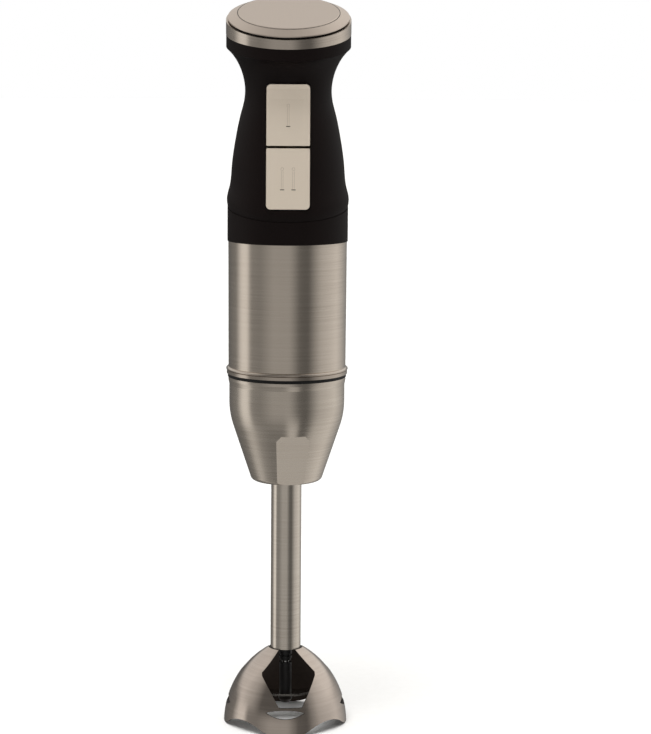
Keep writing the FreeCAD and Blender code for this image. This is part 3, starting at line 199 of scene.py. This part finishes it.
def brushed_steel(name, bright, dull, pitch, roughness, relief, lean=0.0, round_brushed=True, stretch=0.75):
    """Brushed steel: fine lines round the axis, or across it, with slow colour drift and a long soft gloss."""
    material, tree, position = new_material(name)
    lines = 1.0 / pitch
    line_scale = (14.0, 14.0, lines) if round_brushed else (14.0, lines, lines)
    leaning = add_node(tree, "ShaderNodeMapping", {"Vector": position, "Rotation": (-lean, 0.0, 0.0)})
    drawn = add_node(tree, "ShaderNodeMapping", {"Vector": leaning.outputs[0], "Scale": line_scale})
    scratches = add_node(tree, "ShaderNodeTexNoise", {"Vector": drawn.outputs[0], "Scale": 1.0, "Detail": 3.0,
                                                      "Roughness": 0.65})
    drift = add_node(tree, "ShaderNodeTexNoise", {"Vector": position, "Scale": 28.0, "Detail": 2.0})
    scratch_tint = add_node(tree, "ShaderNodeValToRGB", {"Fac": scratches.outputs[0]})
    scratch_tint.color_ramp.elements[0].position = 0.30
    scratch_tint.color_ramp.elements[0].color = linear(dull)
    scratch_tint.color_ramp.elements[1].position = 0.66
    scratch_tint.color_ramp.elements[1].color = linear(bright)
    colour = add_node(tree, "ShaderNodeMixRGB", {"Fac": drift.outputs[0], "Color1": scratch_tint.outputs[0],
                                                 "Color2": linear(bright)})
    rough = add_node(tree, "ShaderNodeMapRange", {"Value": scratches.outputs[0], "To Min": roughness - 0.07,
                                                  "To Max": roughness + 0.07})
    bump = add_node(tree, "ShaderNodeBump", {"Height": scratches.outputs[0], "Strength": relief,
                                             "Distance": 0.0001})
    around = add_node(tree, "ShaderNodeTangent", direction_type="RADIAL", axis="Z")
    show(tree, add_node(tree, "ShaderNodeBsdfPrincipled", {
        "Base Color": colour.outputs[0], "Metallic": 1.0, "Roughness": rough.outputs[0],
        "Normal": bump.outputs[0], "Anisotropic": stretch, "Anisotropic Rotation": 0.25,
        "Tangent": around.outputs[0]}))
    return material


sleeve_steel = brushed_steel("round_brushed_stainless", "#D6CBBE", "#C0B5A7", 0.0007, 0.24, 0.12)
coat(sleeve_steel, "motor_sleeve")
band_lean = math.radians(16.5)
band_steel = brushed_steel("leaning_brushed_stainless", "#D2C7BB", "#BEB2A5", 0.0007, 0.25, 0.12, band_lean)
coat(band_steel, "head_band")
trim_steel = brushed_steel("burnished_trim_steel", "#C3B8AC", "#AFA498", 0.0011, 0.2, 0.1)
coat(trim_steel, "lip_ring")

# ---- Cap and inlaid disc -----------------------------------------------------------------------------------
# Pressed aluminium anodised a pale champagne: a bevelled cap and a flat disc set into it with a hair of a gap.
# Both are brushed straight from front to back, too finely to sparkle, with a soft satin gloss.
champagne, tree, position = new_material("champagne_anodised_aluminium")
straight = add_node(tree, "ShaderNodeMapping", {"Vector": position, "Scale": (1600.0, 40.0, 40.0)})
brushing = add_node(tree, "ShaderNodeTexNoise", {"Vector": straight.outputs[0], "Scale": 1.0, "Detail": 2.0})
tint = add_node(tree, "ShaderNodeMixRGB", {"Fac": brushing.outputs[0], "Color1": linear("#D6C8BB"),
                                           "Color2": linear("#DED1C4")})
rough = add_node(tree, "ShaderNodeMapRange", {"Value": brushing.outputs[0], "To Min": 0.36, "To Max": 0.46})
bump = add_node(tree, "ShaderNodeBump", {"Height": brushing.outputs[0], "Strength": 0.08, "Distance": 0.00005})
show(tree, add_node(tree, "ShaderNodeBsdfPrincipled", {
    "Base Color": tint.outputs[0], "Metallic": 1.0, "Roughness": rough.outputs[0], "Normal": bump.outputs[0]}))
coat(champagne, "top_cap", "top_disc")


def moulded(name, dark, light, grain, roughness):
    """A moulded or cast finish: two close colours in a grain of the given size, with a matching fine bump."""
    material, tree, position = new_material(name)
    grains = add_node(tree, "ShaderNodeTexNoise", {"Vector": position, "Scale": 1.0 / grain, "Detail": 3.0})
    tint = add_node(tree, "ShaderNodeMixRGB", {"Fac": grains.outputs[0], "Color1": linear(dark),
                                               "Color2": linear(light)})
    rough = add_node(tree, "ShaderNodeMapRange", {"Value": grains.outputs[0], "To Min": roughness - 0.06,
                                                  "To Max": roughness + 0.06})
    bump = add_node(tree, "ShaderNodeBump", {"Height": grains.outputs[0], "Strength": 0.15, "Distance": 0.0001})
    skin = add_node(tree, "ShaderNodeBsdfPrincipled", {
        "Base Color": tint.outputs[0], "Roughness": rough.outputs[0], "Normal": bump.outputs[0]})
    show(tree, skin)
    return material, skin


# The hairline round the disc is a flat black ring, laid in the lean of the cap: painted shade for the hair of a
# gap between the disc and the cap.
gap_shade_radius = 0.02645
gap_shade_width = 0.00032
gap_shade_height = 0.37410
cap_lean = math.radians(18.4)
gap_shade_mesh = bmesh.new()
bmesh.ops.create_circle(gap_shade_mesh, cap_ends=True, segments=128, radius=gap_shade_radius)
bmesh.ops.inset_region(gap_shade_mesh, faces=gap_shade_mesh.faces[:], thickness=gap_shade_width, use_boundary=True)
bmesh.ops.delete(gap_shade_mesh, geom=[face for face in gap_shade_mesh.faces if len(face.verts) > 4], context="FACES")
for corner in gap_shade_mesh.verts:
    corner.co.z = gap_shade_height + math.tan(cap_lean) * corner.co.y
gap_shade_ring = mesh_object("disc_gap_shade_ring", gap_shade_mesh)
# The ring's black colour is painted shade for the gap round the disc.
gap_shade_ring.data.materials.append(moulded("painted_gap_shade", "#14110F", "#1F1B18", 0.0003, 0.6)[0])
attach(gap_shade_ring, "motor_unit")

# ---- Grip: two half shells, collar and head plug -----------------------------------------------------------
# Moulded black ABS with a soft satin skin, split down the sides. The tool's surface is spark-eroded to a fine
# grain of about 0.3 mm, and hands polish it slightly in slow patches.
grip_black, tree, position = new_material("satin_black_abs")
erosion = add_node(tree, "ShaderNodeTexNoise", {"Vector": position, "Scale": 3300.0, "Detail": 2.0})
handling = add_node(tree, "ShaderNodeTexNoise", {"Vector": position, "Scale": 45.0, "Detail": 2.0})
tint = add_node(tree, "ShaderNodeMixRGB", {"Fac": handling.outputs[0], "Color1": linear("#100A09"),
                                           "Color2": linear("#150E0D")})
rough = add_node(tree, "ShaderNodeMapRange", {"Value": handling.outputs[0], "To Min": 0.50, "To Max": 0.64})
bump = add_node(tree, "ShaderNodeBump", {"Height": erosion.outputs[0], "Strength": 0.12, "Distance": 0.00008})
show(tree, add_node(tree, "ShaderNodeBsdfPrincipled", {
    "Base Color": tint.outputs[0], "Roughness": rough.outputs[0], "Normal": bump.outputs[0], "IOR": 1.5,
    "Specular IOR Level": 0.1}))
coat(grip_black, "handle_front_shell", "handle_rear_shell", "handle_collar", "head_plug")

# ---- Speed keys --------------------------------------------------------------------------------------------
# Two ABS keys sprayed with champagne metallic lacquer under a satin clear coat. The flake is far too fine to
# see singly and only breaks the surface up softly.
lacquer, tree, position = new_material("champagne_metallic_lacquer")
flake = add_node(tree, "ShaderNodeTexNoise", {"Vector": position, "Scale": 2600.0, "Detail": 2.0})
shade = add_node(tree, "ShaderNodeTexNoise", {"Vector": position, "Scale": 30.0, "Detail": 1.0})
tint = add_node(tree, "ShaderNodeMixRGB", {"Fac": shade.outputs[0], "Color1": linear("#DFD1BF"),
                                           "Color2": linear("#E6D9C8")})
rough = add_node(tree, "ShaderNodeMapRange", {"Value": flake.outputs[0], "To Min": 0.4, "To Max": 0.5})
bump = add_node(tree, "ShaderNodeBump", {"Height": flake.outputs[0], "Strength": 0.05, "Distance": 0.00005})
show(tree, add_node(tree, "ShaderNodeBsdfPrincipled", {
    "Base Color": tint.outputs[0], "Metallic": 0.35, "Roughness": rough.outputs[0], "Normal": bump.outputs[0],
    "Coat Weight": 0.2, "Coat Roughness": 0.25}))
coat(lacquer, "button_speed_1", "button_speed_2")

# Each key is pad-printed with its number, one stroke or two. A stroke is a pair of hairlines with a small ring
# at its head and a heavy foot. The ink is laid a few hundredths of a millimetre thick over the curved key.
ink = moulded("dark_brown_pad_print", "#2B221D", "#3A2F28", 0.0002, 0.5)[0]
pale_ink = moulded("pale_brown_pad_print", "#A39686", "#AEA191", 0.0002, 0.5)[0]


def bar(mesh, across, height, width, length):
    """Adds an upright printed bar that faces -Y, cut finely enough along its length to follow the key."""
    upright = Matrix.Rotation(math.radians(90.0), 4, "X")
    sized = Matrix.Translation((across, -0.1, height)) @ upright @ Matrix.Diagonal((width, length, 1.0, 1.0))
    bmesh.ops.create_grid(mesh, x_segments=2, y_segments=12, size=0.5, matrix=sized)


def loop(mesh, across, height, radius, line):
    """Adds a thin printed ring that faces -Y."""
    upright = Matrix.Translation((across, -0.1, height)) @ Matrix.Rotation(math.radians(90.0), 4, "X")
    rim = bmesh.ops.create_circle(mesh, cap_ends=True, segments=24, radius=radius, matrix=upright)["verts"]
    bmesh.ops.inset_region(mesh, faces=rim[0].link_faces[:], thickness=line, use_boundary=True)
    bmesh.ops.delete(mesh, geom=[face for face in mesh.faces if len(face.verts) == 24], context="FACES")


def lay_on(mesh, key):
    """Presses flat print back along +Y on to a key, leaving it just proud."""
    surface = BVHTree.FromObject(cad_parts[key], bpy.context.evaluated_depsgraph_get())
    for corner in mesh.verts:
        spot = surface.ray_cast(corner.co, Vector((0.0, 1.0, 0.0)))[0]
        corner.co.y = spot.y - 0.00004


for number, foot_height, places in ((1, 0.3169, (0.0,)), (2, 0.2852, (-0.0029, 0.0028))):
    heavy = bmesh.new()
    fine = bmesh.new()
    for place in places:
        bar(heavy, place, foot_height, 0.0021, 0.0004)
        loop(fine, place, foot_height + 0.0104, 0.0008, 0.00014)
        for side in (-0.00042, 0.00042):
            bar(fine, place + side, foot_height + 0.0049, 0.00013, 0.0088)
    for kind, mesh, finish in (("foot", heavy, ink), ("stroke", fine, pale_ink)):
        lay_on(mesh, f"button_speed_{number}")
        print_mark = mesh_object(f"key_{number}_{kind}_print", mesh)
        print_mark.data.materials.append(finish)
        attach(print_mark, f"speed_{number}")

# ---- Switches, board and wiring parts ----------------------------------------------------------------------
# Bought-in parts inside the grip: black phenolic switches with acetal plungers on a brown paper-phenolic
# board, a yellow film capacitor, epoxy diodes and chokes wound with enamelled copper.
coat(moulded("black_phenolic", "#0F0F10", "#17171A", 0.0006, 0.35)[0], "switch_1", "switch_2")
coat(moulded("white_acetal", "#E0DDD4", "#EAE8E0", 0.0008, 0.35)[0], "plunger_1", "plunger_2")
coat(moulded("paper_phenolic_board", "#8A6A35", "#A07F45", 0.0012, 0.5)[0], "control_board")
coat(moulded("yellow_film_capacitor", "#C9A81E", "#D4B52B", 0.0009, 0.3)[0], "suppression_capacitor")
coat(moulded("black_epoxy", "#0C0C0C", "#141414", 0.0005, 0.3)[0], "board_diodes")
copper, copper_skin = moulded("enamelled_copper_wire", "#8C4A22", "#B2683A", 0.0004, 0.3)
copper_skin.inputs["Metallic"].default_value = 1.0
coat(copper, "choke_coils", "field_coils", "rotor_windings")

# ---- Screws, springs, bolts and bearings -------------------------------------------------------------------
# Cold-headed steel with yellowish zinc plating, bright drawn spring wire and ground bearing steel.
zinc, skin = moulded("zinc_plated_steel", "#B4AD93", "#CFC9B2", 0.0015, 0.3)
skin.inputs["Metallic"].default_value = 1.0
coat(zinc, "board_screws", "handle_screws", "clamp_screws", "motor_bolts")
wire, skin = moulded("drawn_spring_wire", "#A5A5A3", "#C4C4C2", 0.0004, 0.25)
skin.inputs["Metallic"].default_value = 1.0
coat(wire, "brush_springs", "shaft_clip")

# The two return springs behind the keys are coiled here, each from a round end of wire.
coil_radius = 0.0032
wire_radius = 0.00035
turns = 4
steps = 28 * turns
for number, height in ((1, 0.3225), (2, 0.2910)):
    depths = [corner.co.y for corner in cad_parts[f"button_spring_{number}"].data.vertices]
    front, back = min(depths), max(depths)
    coil = bmesh.new()
    end = Matrix.Translation((coil_radius, front + wire_radius, height))
    bmesh.ops.create_circle(coil, cap_ends=True, segments=10, radius=wire_radius, matrix=end)
    rise = (back - front - 2.0 * wire_radius) / steps
    bmesh.ops.spin(coil, geom=coil.verts[:] + coil.edges[:] + coil.faces[:], cent=(0.0, 0.0, height),
                   axis=(0.0, 1.0, 0.0), dvec=(0.0, rise, 0.0), angle=turns * math.tau, steps=steps)
    bmesh.ops.recalc_face_normals(coil, faces=coil.faces[:])
    for face in coil.faces:
        face.smooth = True
    spring = mesh_object(f"key_{number}_return_spring", coil)
    spring.data.materials.append(wire)
    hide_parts(f"button_spring_{number}")
    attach(spring, "motor_unit")
    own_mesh(spring)

ground_steel, skin = moulded("ground_steel", "#AFAFAE", "#C6C6C5", 0.0005, 0.2)
skin.inputs["Metallic"].default_value = 1.0
coat(ground_steel, "lower_bearing", "upper_bearing", "rotor_shaft", "drive_shaft")

# ---- Cord inlet --------------------------------------------------------------------------------------------
# A flexible gland of black thermoplastic rubber in the back of the head, with a nylon saddle behind it inside.
# The seals are of the same rubber, and the fan and the moulded parts of the leg are of the same nylon.
rubber = moulded("black_thermoplastic_rubber", "#080707", "#0F0E0E", 0.0004, 0.72)[0]
coat(rubber, "cord_gland", "leg_seal", "shaft_seal")
nylon = moulded("black_glass_filled_nylon", "#121111", "#1D1B1B", 0.0007, 0.5)[0]
coat(nylon, "cord_clamp", "socket_ring", "leg_core", "bearing_housing", "blade_hub", "cooling_fan")

# ---- Motor -------------------------------------------------------------------------------------------------
# A universal motor: laminated silicon steel, die-cast brackets, a grey nylon cradle, pressed brass brush
# holders with graphite brushes, and copper segments on the commutator.
laminations, tree, position = new_material("laminated_silicon_steel")
layers = add_node(tree, "ShaderNodeTexWave", {"Vector": position, "Scale": 320.0}, bands_direction="Z")
tint = add_node(tree, "ShaderNodeMixRGB", {"Fac": layers.outputs["Fac"], "Color1": linear("#4A4A4C"),
                                           "Color2": linear("#77777A")})
bump = add_node(tree, "ShaderNodeBump", {"Height": layers.outputs["Fac"], "Strength": 0.3, "Distance": 0.0001})
show(tree, add_node(tree, "ShaderNodeBsdfPrincipled", {
    "Base Color": tint.outputs[0], "Metallic": 1.0, "Roughness": 0.42, "Normal": bump.outputs[0]}))
coat(laminations, "stator_core", "rotor_core")
cast, skin = moulded("die_cast_aluminium", "#9C9C9B", "#B5B5B4", 0.0012, 0.45)
skin.inputs["Metallic"].default_value = 1.0
coat(cast, "lower_bracket", "upper_bracket")
coat(moulded("grey_nylon", "#8B8B88", "#999996", 0.0009, 0.5)[0], "motor_cradle")
coat(moulded("graphite", "#161616", "#242424", 0.0006, 0.55)[0], "carbon_brushes")
brass, skin = moulded("pressed_brass", "#B08D3E", "#C9A655", 0.0010, 0.3)
skin.inputs["Metallic"].default_value = 1.0
coat(brass, "brush_holders")
segments, skin = moulded("turned_copper_segments", "#A9643A", "#C07A4B", 0.0006, 0.28)
skin.inputs["Metallic"].default_value = 1.0
coat(segments, "commutator")
bronze, skin = moulded("sintered_bronze", "#7F6237", "#967444", 0.0003, 0.5)
skin.inputs["Metallic"].default_value = 1.0
coat(bronze, "lower_bush", "upper_bush")
coat(moulded("natural_nylon", "#D5D1C4", "#E1DED2", 0.0009, 0.42)[0], "motor_coupling", "leg_coupling")

# ---- Leg bell and tube -------------------------------------------------------------------------------------
# A deep-drawn stainless bell with three pressed grip flats, and a welded stainless tube, both brushed round.
bell_steel = brushed_steel("drawn_brushed_stainless", "#D7CDC0", "#BDB1A4", 0.0008, 0.26, 0.16)
coat(bell_steel, "leg_bell")
tube_steel = brushed_steel("brushed_stainless_tube", "#DDD4C8", "#BEB3A6", 0.0010, 0.20, 0.22)
coat(tube_steel, "leg_tube")

# ---- Blade guard -------------------------------------------------------------------------------------------
# Pressed stainless sheet. The outside is buffed after pressing, which leaves faint turning lines. The inside faces
# get a rougher skin and a dark brown colour, which is painted shade for the unlit inside of the guard.
guard_steel_and_inner_shade = brushed_steel("buffed_stainless_and_painted_inner_shade", "#CBBFB4", "#B8ABA0", 0.0012, 0.15, 0.05, stretch=0.3)
tree = guard_steel_and_inner_shade.node_tree
place = add_node(tree, "ShaderNodeTexCoord")
outwards = add_node(tree, "ShaderNodeVectorMath", {0: place.outputs["Object"], 1: (1.0, 1.0, 0.0)},
                    operation="MULTIPLY")
facing = add_node(tree, "ShaderNodeVectorMath", {0: place.outputs["Normal"], 1: outwards.outputs[0]},
                  operation="DOT_PRODUCT")
faces_out_above = 0.0004
inside = add_node(tree, "ShaderNodeMath", {0: facing.outputs["Value"], 1: faces_out_above}, operation="LESS_THAN")
scale_marks = add_node(tree, "ShaderNodeTexNoise", {"Vector": place.outputs["Object"], "Scale": 400.0,
                                                    "Detail": 3.0})
# The inside faces are coloured dark brown with a faint mottle: painted shade for the unlit inside of the guard, in
# place of the steel's own colour.
painted_shade_tint = add_node(tree, "ShaderNodeMixRGB", {"Fac": scale_marks.outputs[0], "Color1": linear("#2C2622"),
                                                "Color2": linear("#3B332E")})
painted_shade_skin = add_node(tree, "ShaderNodeBsdfPrincipled", {"Base Color": painted_shade_tint.outputs[0], "Metallic": 1.0,
                                                        "Roughness": 0.5})
both_faces = add_node(tree, "ShaderNodeMixShader", {
    "Fac": inside.outputs[0], 1: tree.nodes["Principled BSDF"].outputs[0], 2: painted_shade_skin.outputs[0]})
tree.links.new(both_faces.outputs[0], tree.nodes["Material Output"].inputs["Surface"])
coat(guard_steel_and_inner_shade, "blade_guard")

# ---- Blade, hub and nut ------------------------------------------------------------------------------------
# Hardened stainless strip, ground on both faces and bent, pinched between a moulded hub and a nut. The nut is
# coloured near-black as painted shade for the unlit inside of the guard round it.
blade_steel = brushed_steel("ground_blade_steel", "#D8D4CE", "#B9B4AC", 0.0006, 0.22, 0.15, round_brushed=False,
                            stretch=0.3)
coat(blade_steel, "blade")
# The nut's near-black colour is painted shade, standing in for the dark inside of the guard.
nut_shade_steel, skin = moulded("nut_painted_shade_steel", "#2A2725", "#3A3633", 0.0005, 0.4)
skin.inputs["Metallic"].default_value = 1.0
coat(nut_shade_steel, "blade_nut")
